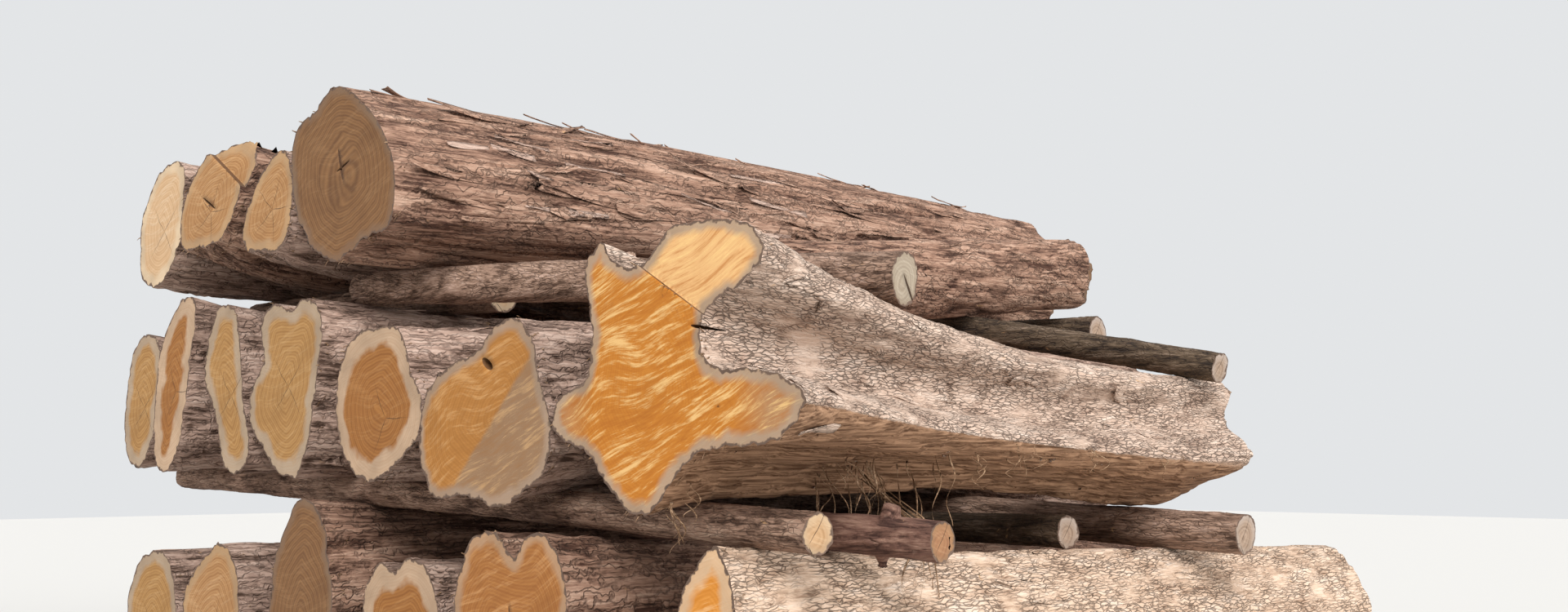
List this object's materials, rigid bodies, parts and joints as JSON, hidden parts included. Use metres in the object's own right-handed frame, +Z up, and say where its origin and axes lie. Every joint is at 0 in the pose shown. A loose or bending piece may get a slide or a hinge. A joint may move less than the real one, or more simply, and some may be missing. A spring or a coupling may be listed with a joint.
{
  "type": "heap of logs",
  "caption": "Heap of sawn, unpeeled logs lying side by side in tiers, each tier held off the next by bearer poles; raw stock for milling, carving or firewood.",
  "frame": {"origin": "middle of the heap's box, on the floor that the bottom tier lies on", "axes": "+X along the logs, from the sawn butts at low X to the thin ends; +Y back across the logs, away from the front log; +Z up"},
  "size_m": [2.0188, 2.1872, 1.2045],
  "materials": {
    "bark_log": "rough bark with sawn ends",
    "bearer_pole": "weathered thin bark"
  },
  "bodies": {
    "root": {"bottom_log_1": "bark_log", "bottom_log_2": "bark_log", "bottom_log_3": "bark_log", "bottom_log_4": "bark_log", "bottom_log_5": "bark_log", "bottom_log_6": "bark_log", "lower_bearer_1": "bearer_pole", "lower_bearer_2": "bearer_pole", "lower_bearer_3": "bearer_pole", "lower_bearer_4": "bearer_pole", "middle_log_1": "bark_log", "middle_log_2": "bark_log", "middle_log_3": "bark_log", "middle_log_4": "bark_log", "middle_log_5": "bark_log", "middle_log_6": "bark_log", "middle_log_7": "bark_log", "top_log_1": "bark_log", "top_log_2": "bark_log", "top_log_3": "bark_log", "top_log_4": "bark_log", "top_log_5": "bark_log", "upper_bearer_1": "bearer_pole", "upper_bearer_2": "bearer_pole", "upper_bearer_3": "bearer_pole", "upper_bearer_4": "bearer_pole"}
  },
  "joints": []
}
